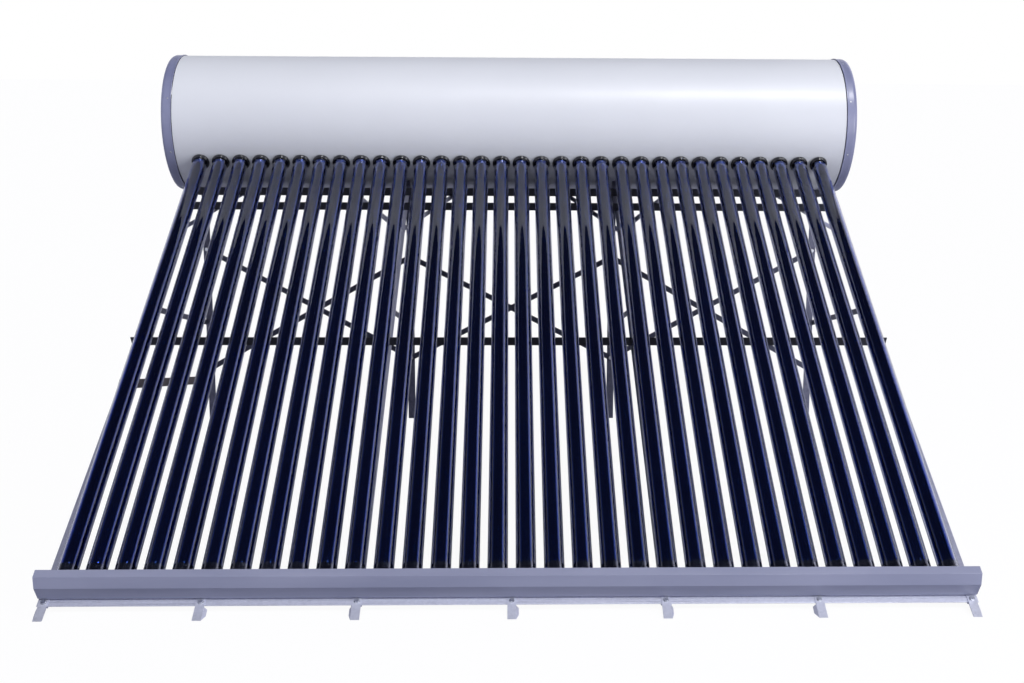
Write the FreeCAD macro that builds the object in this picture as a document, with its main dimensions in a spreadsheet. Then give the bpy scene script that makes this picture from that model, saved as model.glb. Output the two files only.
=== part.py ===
"""Evacuated-tube solar water heater: insulated tank, tube bank and galvanised stand.

Millimetres, +Z up, +X along the tank, the tubes rise towards +Y.
The origin is on the ground at the centre of the whole heater's outline.
"""
import FreeCAD, Part
import math
import os
import Sketcher
from FreeCAD import Placement, Rotation, Vector

DIMENSIONS = [
    ("tube_count", 32, "vacuum tubes in the bank"),
    ("tube_pitch", 80, "spacing of the tubes along the tank"),
    ("tube_length", 2100, "whole length of one vacuum tube"),
    ("glass_diameter", 58, "outer glass of a tube"),
    ("glass_wall", 1.8, "wall of both glass tubes"),
    ("absorber_diameter", 47, "coated inner glass of a tube"),
    ("vacuum_end_gap", 36, "from the tube's tip to the inner tube's tip"),
    ("tube_tilt", 31.2, "angle of the tubes above the ground"),
    ("tail_height", 110, "height of the tube axes at the tail cover's upper edge"),
    ("tank_run", 1910, "horizontal distance from that edge line to the tank's axis"),
    ("tank_diameter", 544, "outer casing"),
    ("tank_length", 2760, "over both end caps"),
    ("casing_sheet", 1.2, "casing and cap sheet"),
    ("cap_band", 42, "width of an end cap's rim"),
    ("cap_diameter", 552, "largest diameter, over the caps' rims"),
    ("inner_diameter", 440, "stainless inner tank"),
    ("inner_length", 2470, "straight part of the inner tank"),
    ("inner_sheet", 1.5, "inner tank's wall"),
    ("inner_dish", 90, "depth of an inner tank's dished head"),
    ("tube_hole", 62, "hole for a tube in the casing and the foam"),
    ("ring_diameter", 70, "dust ring"),
    ("nipple_diameter", 33.2, "one-inch pipe nipple"),
    ("nipple_bore", 27, "water way of a nipple"),
    ("nipple_reach", 34, "nipple beyond the casing"),
    ("nipple_spread", 1050, "outer nipples from the tank's middle"),
    ("cup_diameter", 62.4, "tail cup"),
    ("cover_width", 2632, "tail cover along X"),
    ("cover_sheet", 1.5, "tail cover's sheet"),
    ("leg_spacing", 866, "spacing of the four side frames"),
    ("leg_tilt", 28.4, "angle of the front legs above the ground"),
    ("leg_flange", 30, "width of a leg's flanges"),
    ("steel_sheet", 2.5, "thickness of the stand's angles and flats"),
    ("leg_start", 40, "from the toe line up to a front leg's lower end"),
    ("leg_end", 2134, "from the toe line up to a front leg's upper end"),
    ("rail_stand", 36, "upstanding flange of a cross rail"),
    ("rail_length", 2634, "cross rails along X"),
    ("bottom_rail_start", 43, "toe line to the bottom rail"),
    ("mid_rail_start", 1143, "toe line to the middle rail"),
    ("top_rail_start", 1968, "toe line to the upper rail"),
    ("tank_rail_start", 2072, "toe line to the tank rail"),
    ("foot_width", 25, "front foot"),
    ("foot_bolt_row", 54, "toe line to the foot bolts"),
    ("toe_run", 86, "horizontal distance from the tail line forward to the toe line"),
    ("rear_leg_run", 1956, "toe line to the rear legs' lower ends"),
    ("rear_leg_rise", 996, "height of the rear legs' upper ends"),
    ("rear_leg_lean", 75, "how far the rear legs lean back over that height"),
    ("flat_width", 22, "brace and strut strip"),
    ("cross_top_inner", 705, "height of the crossed braces' upper ends, inner legs"),
    ("cross_top_outer", 735, "height of the crossed braces' upper ends, outer legs"),
    ("cross_low_inner", 268, "height of the crossed braces' lower ends, inner legs"),
    ("cross_low_outer", 222, "height of the crossed braces' lower ends, outer legs"),
    ("knee_start", 1832, "toe line to a knee brace's lower end"),
    ("knee_run", 205, "knee brace along X"),
    ("strut_front", 1371, "toe line to a side strut, along the front leg"),
    ("strut_rear", 420, "height of a side strut on the rear leg"),
    ("tie_front", 962, "toe line to the lower side tie, along the front leg"),
    ("tie_rear", 168, "height of the lower side tie on the rear leg"),
    ("tie_width", 32, "lower side tie's strip"),
    ("bolt_diameter", 8, "stand bolts"),
    ("bolt_head", 13, "across the flats of their heads"),
]

doc = FreeCAD.newDocument("solar_water_heater")
sheet = doc.addObject("Spreadsheet::Sheet", "dims")


class Size:
    """A number together with the spreadsheet formula that drives it."""

    def __init__(self, value, formula=None):
        self.value = float(value)
        self.formula = formula or repr(float(value))

    def _join(self, other, sign, result):
        return Size(result, "(%s %s %s)" % (self.formula, sign, other.formula))

    def __add__(self, other):
        other = as_size(other)
        return self._join(other, "+", self.value + other.value)

    def __sub__(self, other):
        other = as_size(other)
        return self._join(other, "-", self.value - other.value)

    def __mul__(self, other):
        other = as_size(other)
        return self._join(other, "*", self.value * other.value)

    def __truediv__(self, other):
        other = as_size(other)
        return self._join(other, "/", self.value / other.value)

    def __rsub__(self, other):
        return as_size(other) - self

    def __neg__(self):
        return Size(-self.value, "(0 - %s)" % self.formula)

    __radd__ = __add__
    __rmul__ = __mul__

    def __float__(self):
        return self.value


def as_size(number):
    return number if isinstance(number, Size) else Size(number)


class Dims:
    """Every driving dimension as an attribute, read back from the sheet."""


d = Dims()
for line, (alias, number, note) in enumerate(DIMENSIONS, 1):
    sheet.set("A%d" % line, note)
    sheet.set("B%d" % line, str(number))
    sheet.setAlias("B%d" % line, alias)
doc.recompute()
for alias, number, note in DIMENSIONS:
    setattr(d, alias, Size(sheet.get(alias), "dims." + alias))

PARTS = []
X_AXIS = Vector(1, 0, 0)
BOLT_CLEARANCE = 0.25
CAP_EDGE = 10.0
THREAD_DEPTH = 0.8

# Places worked out from the driving dimensions.
TILT = math.radians(d.tube_tilt.value)
LEG = math.radians(d.leg_tilt.value)
FOOT_LIFT = 2 * d.steel_sheet.value
FOOT_TIP = FOOT_LIFT / math.sin(LEG)
HALF_DEPTH = (d.tank_run.value + d.cap_diameter.value / 2 + d.toe_run.value + FOOT_TIP) / 2
TANK_Y = HALF_DEPTH - d.cap_diameter.value / 2
TANK_Z = d.tail_height.value + d.tank_run.value * math.tan(TILT)
TAIL_Y = TANK_Y - d.tank_run.value
TOE_Y = TAIL_Y - d.toe_run.value
TANK_AXIS_ALONG = d.tank_run.value / math.cos(TILT)
TUBE_TIP = -45.0
FIRST_TUBE_X = -(d.tube_count.value - 1) / 2 * d.tube_pitch.value
FRAME_X = [(k - 1.5) * d.leg_spacing.value for k in range(4)]


def keep(shape_object, label):
    """Register a finished sub-part under the name of its file."""
    shape_object.Label = label
    PARTS.append(shape_object)
    return shape_object


def bind(target, **sizes):
    for prop, size in sizes.items():
        target.setExpression(prop, as_size(size).formula)


# Local frames -------------------------------------------------------------

def tank_frame():
    """Origin on the tank's axis, local Z along the tubes and into the tank."""
    return Placement(Vector(0, TANK_Y, TANK_Z), Rotation(X_AXIS, d.tube_tilt.value - 90))


def tube_frame():
    """Origin on the first tube's axis at the tail line, local Z up the tube."""
    return Placement(Vector(FIRST_TUBE_X, TAIL_Y, d.tail_height.value),
                     Rotation(X_AXIS, d.tube_tilt.value - 90))


def leg_frame(x, along, lift=0.0, turn=0.0):
    """On the front legs' upper faces: local Y up the leg, local Z out of the face."""
    base = Vector(x, TOE_Y + along * math.cos(LEG) - lift * math.sin(LEG),
                  along * math.sin(LEG) + lift * math.cos(LEG))
    tilt = Rotation(X_AXIS, d.leg_tilt.value)
    return Placement(base, tilt.multiply(Rotation(Vector(0, 0, 1), turn)))


REAR_FOOT_Y = TOE_Y + d.rear_leg_run.value
REAR_LEAN = math.degrees(math.atan2(d.rear_leg_lean.value, d.rear_leg_rise.value))


def rear_frame(x, height, out=0.0):
    """On the rear legs' front faces: local Z up the leg, local Y backwards."""
    lean = math.radians(REAR_LEAN)
    base = Vector(x, REAR_FOOT_Y + height * math.tan(lean) + out, height)
    return Placement(base, Rotation(X_AXIS, -REAR_LEAN))


# Sketch-based bodies --------------------------------------------------------

def new_body(label, placement):
    body = doc.addObject("PartDesign::Body", label)
    body.AllowCompound = True
    body.Placement = placement
    return keep(body, label)


def origin_feature(body, role):
    return next(f for f in body.Origin.OriginFeatures if f.Role == role)


def new_sketch(body, plane, name):
    sketch = body.newObject("Sketcher::SketchObject", name)
    sketch.AttachmentSupport = [(origin_feature(body, plane), "")]
    sketch.MapMode = "FlatFace"
    return sketch


def pin_point(sketch, geometry, point, across, up):
    """Hold one sketch point at a driven distance from the sketch's origin."""
    for kind, axis, size in (("DistanceX", -2, across), ("DistanceY", -1, up)):
        size = as_size(size)
        if abs(size.value) < 1e-9:
            sketch.addConstraint(Sketcher.Constraint("PointOnObject", geometry, point, axis))
            continue
        if size.value > 0:
            rule = Sketcher.Constraint(kind, -1, 1, geometry, point, size.value)
        else:
            rule = Sketcher.Constraint(kind, geometry, point, -1, 1, -size.value)
            size = -size
        index = sketch.addConstraint(rule)
        sketch.setExpression("Constraints[%d]" % index, size.formula)


def outline(body, plane, name, points, arcs=()):
    """A closed outline of straight edges; edges listed in arcs turn about the
    revolution axis given with them: -1 for the sketch's X axis, -2 for its Y axis."""
    sketch = new_sketch(body, plane, name)
    turns = dict(arcs)
    places = [Vector(float(as_size(a).value), float(as_size(b).value), 0) for a, b in points]
    count = len(points)
    for i, start in enumerate(places):
        end = places[(i + 1) % count]
        if i not in turns:
            sketch.addGeometry(Part.LineSegment(start, end), False)
            continue
        sketch.addGeometry(arc_about_axis(start, end, turns[i]), False)
    for i in range(count):
        after = (i + 1) % count
        end_point, start_point = 2, 1
        if i in turns and turns_clockwise(places[i], places[after], turns[i]):
            end_point = 1
        if after in turns and turns_clockwise(places[after], places[(after + 1) % count], turns[after]):
            start_point = 2
        sketch.addConstraint(Sketcher.Constraint("Coincident", i, end_point, after, start_point))
    for i, (across, up) in enumerate(points):
        point = 2 if i in turns and turns_clockwise(places[i], places[(i + 1) % count], turns[i]) else 1
        pin_point(sketch, i, point, across, up)
    for i, axis in turns.items():
        sketch.addConstraint(Sketcher.Constraint("PointOnObject", i, 3, axis))
    return sketch


def arc_centre(start, end, axis):
    """The point of the sketch's axis that is equally far from both ends."""
    chord = end - start
    middle = (start + end) * 0.5
    if axis == -1:
        return Vector(middle.x + middle.y * chord.y / chord.x, 0, 0)
    return Vector(0, middle.y + middle.x * chord.x / chord.y, 0)


def turns_clockwise(start, end, axis):
    centre = arc_centre(start, end, axis)
    a, b = start - centre, end - centre
    return a.x * b.y - a.y * b.x < 0


def arc_about_axis(start, end, axis):
    centre = arc_centre(start, end, axis)
    circle = Part.Circle(centre, Vector(0, 0, 1), (start - centre).Length)
    first, last = (end, start) if turns_clockwise(start, end, axis) else (start, end)
    angles = [math.atan2(p.y - centre.y, p.x - centre.x) for p in (first, last)]
    return Part.ArcOfCircle(circle, angles[0], angles[1])


def revolve(body, sketch, axis):
    turn = body.newObject("PartDesign::Revolution", sketch.Name + "_turned")
    turn.Profile = sketch
    turn.ReferenceAxis = (sketch, [axis])
    turn.Angle = 360
    return turn


def pad(body, sketch, length):
    block = body.newObject("PartDesign::Pad", sketch.Name + "_padded")
    block.Profile = sketch
    block.Midplane = True
    bind(block, Length=length)
    return block


def pierce(body, name, radius, depth, across=0.0, up=0.0, upwards=False):
    """A round hole from the body's XY plane, downwards unless told otherwise."""
    sketch = new_sketch(body, "XY_Plane", name)
    sketch.addGeometry(Part.Circle(Vector(float(as_size(across).value), float(as_size(up).value), 0),
                                   Vector(0, 0, 1), as_size(radius).value), False)
    pin_point(sketch, 0, 3, across, up)
    index = sketch.addConstraint(Sketcher.Constraint("Radius", 0, as_size(radius).value))
    sketch.setExpression("Constraints[%d]" % index, as_size(radius).formula)
    hole = body.newObject("PartDesign::Pocket", name + "_cut")
    hole.Profile = sketch
    hole.Reversed = upwards
    bind(hole, Length=depth)
    return hole


def repeat(body, feature):
    """Repeat a feature once for every tube."""
    row = body.newObject("PartDesign::LinearPattern", feature.Name + "_row")
    row.Originals = [feature]
    row.Direction = (origin_feature(body, "X_Axis"), [""])
    bind(row, Length=(d.tube_count - 1) * d.tube_pitch, Occurrences=d.tube_count)
    body.Tip = row
    return row


# Tank -----------------------------------------------------------------------

def tank_wall(label, outer_radius, inner_radius, half_length):
    body = new_body(label, tank_frame())
    wall = outline(body, "XZ_Plane", label + "_section",
                   [(-half_length, inner_radius), (half_length, inner_radius),
                    (half_length, outer_radius), (-half_length, outer_radius)])
    revolve(body, wall, "H_Axis")
    return body


def tube_holes(body, radius):
    first = -(d.tube_count - 1) * d.tube_pitch / 2
    repeat(body, pierce(body, body.Label + "_tube_hole", radius, d.tank_diameter, first))


def nipple_holes(body, radius):
    for name, across in (("cold", -d.nipple_spread), ("vent", 0.0), ("hot", d.nipple_spread)):
        pierce(body, "%s_%s_hole" % (body.Label, name), radius, d.tank_diameter, across, 0.0, True)


def make_tank_shell():
    radius = d.tank_diameter / 2
    half = d.tank_length / 2 - CAP_EDGE
    body = tank_wall("tank_shell", radius, radius - d.casing_sheet, half)
    nipple_holes(body, d.nipple_diameter / 2 + 5)
    tube_holes(body, d.tube_hole / 2)


def head_points(outer, half, dish):
    """Half outline of a dished vessel, from the left pole over the top."""
    return [(-half - dish, 0.0), (-half, outer), (half, outer), (half + dish, 0.0)]


def make_insulation():
    body = new_body("tank_insulation", tank_frame())
    radius = d.tank_diameter / 2 - d.casing_sheet
    half = d.tank_length / 2 - CAP_EDGE
    inner_half = d.inner_length / 2
    cavity = head_points(d.inner_diameter / 2, inner_half, d.inner_dish)
    points = [(-half, 0.0), (-half, radius), (half, radius), (half, 0.0)] + cavity[::-1]
    section = outline(body, "XZ_Plane", "foam_section", points, [(4, -1), (6, -1)])
    revolve(body, section, "H_Axis")
    nipple_holes(body, d.nipple_diameter / 2 - THREAD_DEPTH)
    tube_holes(body, d.tube_hole / 2)


def make_inner_tank():
    body = new_body("inner_tank", tank_frame())
    half, radius = d.inner_length / 2, d.inner_diameter / 2
    outside = head_points(radius, half, d.inner_dish)
    inside = head_points(radius - d.inner_sheet, half, d.inner_dish - d.inner_sheet)
    section = outline(body, "XZ_Plane", "vessel_section", outside + inside[::-1],
                      [(0, -1), (2, -1), (4, -1), (6, -1)])
    revolve(body, section, "H_Axis")
    nipple_holes(body, d.nipple_diameter / 2 - THREAD_DEPTH)
    tube_holes(body, d.tube_hole / 2)


def make_end_cap(label, side):
    """A pressed cap: raised lip at the seam, rim band, rounded edge and a dished face."""
    frame = tank_frame()
    frame = frame.multiply(Placement(Vector(), Rotation(Vector(0, 0, 1), 0 if side > 0 else 180)))
    body = new_body(label, frame)
    end, rim = d.tank_length / 2, d.tank_diameter / 2
    seam, lip = end - d.cap_band, d.cap_diameter / 2
    sheet_ = d.casing_sheet
    points = [(seam, rim), (seam, lip), (seam + 4, lip), (seam + 5.5, lip - 1.5),
              (end - 9, lip - 1.5), (end - 3.5, lip - 3.5), (end - 1, lip - 8), (end, lip - 15),
              (end, lip - 40), (end - 6, lip - 46), (end - 6, 0.0),
              (end - 6 - sheet_, 0.0), (end - 6 - sheet_, lip - 47),
              (end - sheet_, lip - 41), (end - sheet_, lip - 15.5), (end - 2.2, lip - 8.7),
              (end - 4.4, lip - 5), (end - 9, rim)]
    revolve(body, outline(body, "XZ_Plane", label + "_section", points), "H_Axis")


def make_nipple(label, across):
    """A threaded pipe nipple through the casing, the foam and the inner tank."""
    frame = tank_frame().multiply(Placement(Vector(float(as_size(across).value), 0, 0), Rotation()))
    body = new_body(label, frame)
    inside = d.inner_diameter / 2 - 12
    outside = d.tank_diameter / 2 + d.nipple_reach
    outer, bore = d.nipple_diameter / 2, d.nipple_bore / 2
    neck, threads = outer - THREAD_DEPTH, d.tank_diameter / 2 + 8
    points = [(bore, inside), (neck, inside), (neck, threads), (outer, threads),
              (outer, outside - 1.5), (outer - 1.5, outside), (bore, outside)]
    revolve(body, outline(body, "XZ_Plane", label + "_section", points), "V_Axis")


def make_grommets():
    """Rubber collars that close the casing round the nipples, one solid each."""
    body = new_body("nipple_grommets", tank_frame())
    shell, outer = d.tank_diameter / 2, d.nipple_diameter / 2 - THREAD_DEPTH
    for name, across in (("cold", -d.nipple_spread), ("vent", 0.0), ("hot", d.nipple_spread)):
        ring = new_sketch(body, "XY_Plane", name + "_grommet")
        ring.AttachmentOffset = Placement(Vector(0, 0, shell.value + 0.4), Rotation())
        for radius in (outer, outer + 11):
            index = ring.addGeometry(Part.Circle(Vector(float(as_size(across).value), 0, 0),
                                                 Vector(0, 0, 1), radius.value), False)
            pin_point(ring, index, 3, across, 0.0)
            rule = ring.addConstraint(Sketcher.Constraint("Radius", index, radius.value))
            ring.setExpression("Constraints[%d]" % rule, radius.formula)
        collar = body.newObject("PartDesign::Pad", name + "_collar")
        collar.Profile = ring
        collar.Length = 6


# Tube bank --------------------------------------------------------------------

def tube_row(label, points, arcs=()):
    """One turned profile (distance from the axis, place up the tube) for every tube."""
    body = new_body(label, tube_frame())
    repeat(body, revolve(body, outline(body, "XZ_Plane", label + "_section", points, arcs), "V_Axis"))


def make_tubes():
    glass, coated = d.glass_diameter / 2, d.absorber_diameter / 2
    wall = d.glass_wall
    inner_tip = as_size(TUBE_TIP) + d.vacuum_end_gap
    tip, top = as_size(TUBE_TIP), as_size(TUBE_TIP) + d.tube_length
    tube_row("outer_glass_tubes",
             [(0.0, tip), (glass, tip + glass), (glass, top), (coated, top), (coated, top - 3),
              (glass - wall, top - 3), (glass - wall, tip + glass), (0.0, tip + wall)],
             [(0, -2), (6, -2)])
    tube_row("absorber_tubes",
             [(0.0, inner_tip), (coated, inner_tip + coated), (coated, top),
              (coated - wall, top), (coated - wall, inner_tip + coated), (0.0, inner_tip + wall)],
             [(0, -2), (4, -2)])
    grip, brim = coated * 0.83, glass - wall - 1.6
    tube_row("getter_clips",
             [(grip - 0.8, inner_tip - 20), (grip, inner_tip - 20), (grip, inner_tip + 1),
              (brim, inner_tip + 4), (brim, inner_tip + 5), (grip - 0.8, inner_tip + 2)])


def make_seals():
    glass = d.glass_diameter / 2
    shell = as_size(TANK_AXIS_ALONG) - d.tank_diameter / 2
    vessel = as_size(TANK_AXIS_ALONG) - d.inner_diameter / 2
    hole = d.tube_hole / 2
    tube_row("tube_seals",
             [(glass, vessel - 9), (hole - 0.2, vessel - 9), (hole - 0.2, vessel + 12), (glass, vessel + 12)])
    tube_row("dust_rings",
             [(glass, shell - 17), (glass + 3, shell - 17), (d.ring_diameter / 2, shell - 11),
              (d.ring_diameter / 2, shell - 4), (d.ring_diameter / 2 - 2, shell - 0.6),
              (hole - 0.4, shell - 0.6), (hole - 0.4, shell + 8), (glass, shell + 8)])


def make_tail_cups():
    glass, cup = d.glass_diameter / 2, d.cup_diameter / 2
    tip, brim, play = as_size(TUBE_TIP), 20.0, 0.2
    seat = glass.value + play
    mouth = math.sqrt(seat ** 2 - (glass.value - brim) ** 2)
    tube_row("tail_cups",
             [(0.0, tip - 3), (14.0, tip - 3), (cup, tip + 14), (cup, tip + brim),
              (mouth, tip + brim), (0.0, tip - play)], [(4, -2)])


# Tail: the rail that carries the cups and the folded cover in front of it ----------

def tail_section(label, points, width):
    """A folded sheet along X: points are (run from the tail line, height)."""
    body = new_body(label, Placement(Vector(0, TAIL_Y, 0), Rotation()))
    pad(body, outline(body, "YZ_Plane", label + "_section", points), width)
    return body


def make_tail():
    sheet_ = d.cover_sheet
    tail_section("tail_cover",
                 [(-37.0, 126.0), (-58.4, 113.0), (-58.4, 79.0), (-36.0, 39.0), (-27.0, 40.0),
                  (-27.0, 40.0 + sheet_), (-35.2, 40.5), (-58.4 + sheet_, 79.0 + sheet_ * 0.3),
                  (-58.4 + sheet_, 113.0 - sheet_ * 0.6), (-36.4, 126.0 - sheet_)],
                 d.cover_width)
    body = new_body("tail_rail", tube_frame())
    half = d.cover_width / 2 - 8
    middle = (d.tube_count - 1) * d.tube_pitch / 2
    web, flange, place = 2.0, 10.0, -28.0
    low, high = -26.0, 48.0
    section = outline(body, "YZ_Plane", "tail_rail_section",
                      [(low, place), (high, place), (high, flange), (high - web, flange),
                       (high - web, place + web), (low, place + web)])
    section.AttachmentOffset = Placement(Vector(0, 0, middle.value), Rotation())
    pad(body, section, half * 2)
    cup_hole = pierce(body, "cup_hole", d.cup_diameter / 2 + 0.2, 60.0)
    repeat(body, cup_hole)


# Stand --------------------------------------------------------------------------

def plate(name, length, width, height, at):
    """A driven box; its placement is relative to the part that uses it."""
    block = doc.addObject("Part::Box", name)
    bind(block, Length=length, Width=width, Height=height)
    block.Placement = at
    return block


def shift(x=0.0, y=0.0, z=0.0):
    return Placement(Vector(float(as_size(x).value), float(as_size(y).value), float(as_size(z).value)),
                     Rotation())


def drill(name, at, length=60.0):
    """A bolt hole along local Z, centred on the given placement."""
    tool = doc.addObject("Part::Cylinder", name)
    bind(tool, Radius=d.bolt_diameter / 2 + BOLT_CLEARANCE, Height=length)
    tool.Placement = at.multiply(shift(z=-as_size(length).value / 2))
    return tool


def fuse(name, pieces):
    joined = doc.addObject("Part::MultiFuse", name)
    joined.Shapes = pieces
    joined.Refine = True
    return joined


def cut(name, base, tools):
    if not tools:
        return base
    result = doc.addObject("Part::Cut", name)
    result.Base = base
    result.Tool = tools[0] if len(tools) == 1 else fuse(name + "_tools", tools)
    result.Refine = True
    return result


def above_ground(name, base):
    """Trim what would reach below the ground."""
    pit = doc.addObject("Part::Box", name + "_ground")
    bind(pit, Length=d.tank_length * 2, Width=d.tank_length * 2, Height=200.0)
    pit.Placement = shift(-d.tank_length.value, -d.tank_length.value, -200)
    return cut(name, base, [pit])


def bar_frame(start, end, normal, lift=0.0):
    """A frame whose X runs from start to end and whose Z is the strip's normal."""
    along = (end - start).normalize()
    across = normal.cross(along).normalize()
    turn = Rotation(along, across, normal, "ZXY")
    return Placement(start + normal * lift, turn)


def strip(label, start, end, normal, width, lift=0.0, bolts=(), overhang=13.0):
    """A flat strip between two bolt places, with its ends beyond the bolts."""
    span = (end - start).Length
    frame = bar_frame(start, end, normal, lift)
    thick = d.steel_sheet
    base = plate(label + "_strip", as_size(span + 2 * overhang), width, thick,
                 frame.multiply(shift(-overhang, -as_size(width).value / 2)))
    tools = [drill("%s_hole_%d" % (label, i), frame.multiply(shift(x)))
             for i, x in enumerate(bolts or (0, span))]
    return keep(cut(label, base, tools), label)


def leg_point(x, along, lift=0.0):
    return leg_frame(x, along, lift).Base


def rear_point(x, height, out=0.0):
    return rear_frame(x, height, out).Base


LEG_NORMAL = Vector(0, -math.sin(LEG), math.cos(LEG))
REAR_NORMAL = Vector(0, -math.cos(math.radians(REAR_LEAN)), math.sin(math.radians(REAR_LEAN)))
SIDE = [-1, -1, 1, 1]
RAIL_STARTS = [("mid_rail", d.mid_rail_start), ("top_rail", d.top_rail_start),
               ("tank_front_rail", d.tank_rail_start)]
RAIL_BOLT = 17.0
FOOT_EDGES = [-1, 1, -1, 1, 1, -1, 1]
REAR_RAIL_DROP = 18.0
WEB_MIDDLE = 0.55
KNEE_SLOT = 3.0


def make_front_leg(number, x, side):
    """An angle: one flange in the plane of the tubes' shadow, one down the outer side."""
    label = "front_leg_%d" % number
    wide, thick = d.leg_flange, d.steel_sheet
    length = d.leg_end - d.leg_start
    frame = leg_frame(x, d.leg_start.value)
    face = plate(label + "_face", wide, length, thick,
                 frame.multiply(shift(-wide.value / 2, 0, -thick.value)))
    edge = -wide.value / 2 if side < 0 else wide.value / 2 - thick.value
    web = plate(label + "_web", thick, length, wide, frame.multiply(shift(edge, 0, -wide.value)))
    rows = [start.value + RAIL_BOLT for _, start in RAIL_STARTS]
    tools = [drill("%s_hole_%d" % (label, i), leg_frame(x, s)) for i, s in
             enumerate([d.foot_bolt_row.value] + rows + [d.knee_start.value])]
    tools += web_holes(label, number - 1, True)
    if number in (2, 3):
        slot = leg_frame(x + edge - 4, d.knee_start.value - 12.0, -KNEE_SLOT - 2 * thick.value)
        tools.append(plate(label + "_notch", 12.0, 60.0, 2 * KNEE_SLOT, slot))
    drilled = cut(label + "_drilled", fuse(label + "_angle", [face, web]), tools)
    keep(above_ground(label, drilled), label)


def make_rear_leg(number, x, side):
    """An angle: one flange faces forwards, the other runs back on the outer side."""
    label = "rear_leg_%d" % number
    wide, thick = d.leg_flange, d.steel_sheet
    frame = rear_frame(x, 0.0)
    slack = 10.0
    length = d.rear_leg_rise + slack
    face = plate(label + "_face", wide, thick, length, frame.multiply(shift(-wide.value / 2, 0, -slack)))
    edge = -wide.value / 2 if side < 0 else wide.value / 2 - thick.value
    web = plate(label + "_web", thick, wide, length, frame.multiply(shift(edge, 0, -slack)))
    angle = fuse(label + "_angle", [face, web])
    back = Rotation(X_AXIS, 90)
    heights = cross_heights(number - 1) + [d.rear_leg_rise.value - REAR_RAIL_DROP]
    tools = []
    for i, height in enumerate(heights):
        at = rear_frame(x, height)
        tools.append(drill("%s_hole_%d" % (label, i), Placement(at.Base, at.Rotation.multiply(back))))
    tools += web_holes(label, number - 1, False)
    keep(above_ground(label, cut(label + "_drilled", angle, tools)), label)


def cross_heights(index):
    outer = index in (0, 3)
    low = d.cross_low_outer if outer else d.cross_low_inner
    high = d.cross_top_outer if outer else d.cross_top_inner
    return [low.value, high.value]


def make_foot(number, x, side):
    """A front foot: a strip bolted on the bottom rail, with one edge turned back."""
    label = "front_foot_%d" % number
    wide, thick = d.foot_width, d.steel_sheet
    half, below = wide.value / 2, 18.0
    top = d.foot_bolt_row.value + 13.0
    frame = leg_frame(x, -below, thick.value)
    splay = Rotation(Vector(0, 1, 0), 90 - side * 30)
    edge = frame.multiply(Placement(Vector(side * (half - thick.value), 0, thick.value / 2), splay))
    if side < 0:
        edge = edge.multiply(shift(z=-thick.value))
    pieces = [plate(label + "_face", wide, top + below, thick, frame.multiply(shift(-half))),
              plate(label + "_edge", wide * 0.6, below + d.bottom_rail_start.value - 6, thick, edge)]
    hole = drill(label + "_hole", leg_frame(x, d.foot_bolt_row.value))
    keep(above_ground(label, cut(label + "_drilled", fuse(label + "_angle", pieces), [hole])), label)


def make_rails():
    """Cross rails: a flange lying on the legs and one standing at its lower edge."""
    wide, thick, length = d.leg_flange, d.steel_sheet, d.rail_length
    end = -length.value / 2
    for label, start in RAIL_STARTS:
        frame = leg_frame(end, start.value)
        flat = plate(label + "_flat", length, wide, thick, frame)
        stand = plate(label + "_stand", length, thick, d.rail_stand, frame)
        holes = [(x, RAIL_BOLT) for x in FRAME_X]
        if label == "tank_front_rail":
            holes += [(x, RAIL_BOLT) for x, _ in knee_tops()]
        tools = [drill("%s_hole_%d" % (label, i), leg_frame(x, start.value + y))
                 for i, (x, y) in enumerate(holes)]
        keep(cut(label, fuse(label + "_angle", [flat, stand]), tools), label)
    frame = leg_frame(0.0, d.bottom_rail_start.value)
    flat = plate("bottom_rail_flat", length, wide, thick, frame.multiply(shift(end)))
    lip = plate("bottom_rail_lip", length, thick, 8.0, frame.multiply(shift(end, wide.value - thick.value)))
    tools = [drill("bottom_rail_hole_%d" % i, leg_frame(x, d.foot_bolt_row.value))
             for i, x in enumerate(foot_places())]
    keep(cut("bottom_rail", fuse("bottom_rail_angle", [flat, lip]), tools), "bottom_rail")
    frame = rear_frame(0.0, d.rear_leg_rise.value - REAR_RAIL_DROP)
    half = wide.value / 2 - 2
    face = plate("tank_rear_rail_face", length, thick, wide - 4,
                 frame.multiply(shift(end, -thick.value, -half)))
    shelf = plate("tank_rear_rail_shelf", length, wide - 6, thick,
                  frame.multiply(shift(end, -wide.value + 6, -half)))
    back = frame.Rotation.multiply(Rotation(X_AXIS, 90))
    height = d.rear_leg_rise.value - REAR_RAIL_DROP
    tools = [drill("tank_rear_rail_hole_%d" % i, Placement(rear_point(x, height), back))
             for i, x in enumerate(FRAME_X)]
    keep(cut("tank_rear_rail", fuse("tank_rear_rail_angle", [face, shelf]), tools), "tank_rear_rail")


def foot_places():
    return [(k - 3) * d.leg_spacing.value / 2 for k in range(7)]


def knee_tops():
    """Where each knee brace meets the tank rail, with the leg it comes from."""
    run = d.knee_run.value
    tops = []
    for x in FRAME_X:
        for step in (run, -run):
            if abs(x + step) < FRAME_X[3]:
                tops.append((x + step, x))
    return tops


def make_knee_braces():
    """Short strips under the legs' faces, from each leg out to the tank rail."""
    top_row = d.tank_rail_start.value + RAIL_BOLT
    for number, (top_x, leg_x) in enumerate(knee_tops(), 1):
        layer = 3 if leg_x in FRAME_X[1:3] and top_x < leg_x else 2
        strip("knee_brace_%d" % number, leg_point(leg_x, d.knee_start.value), leg_point(top_x, top_row),
              LEG_NORMAL, d.flat_width, -layer * d.steel_sheet.value)


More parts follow.
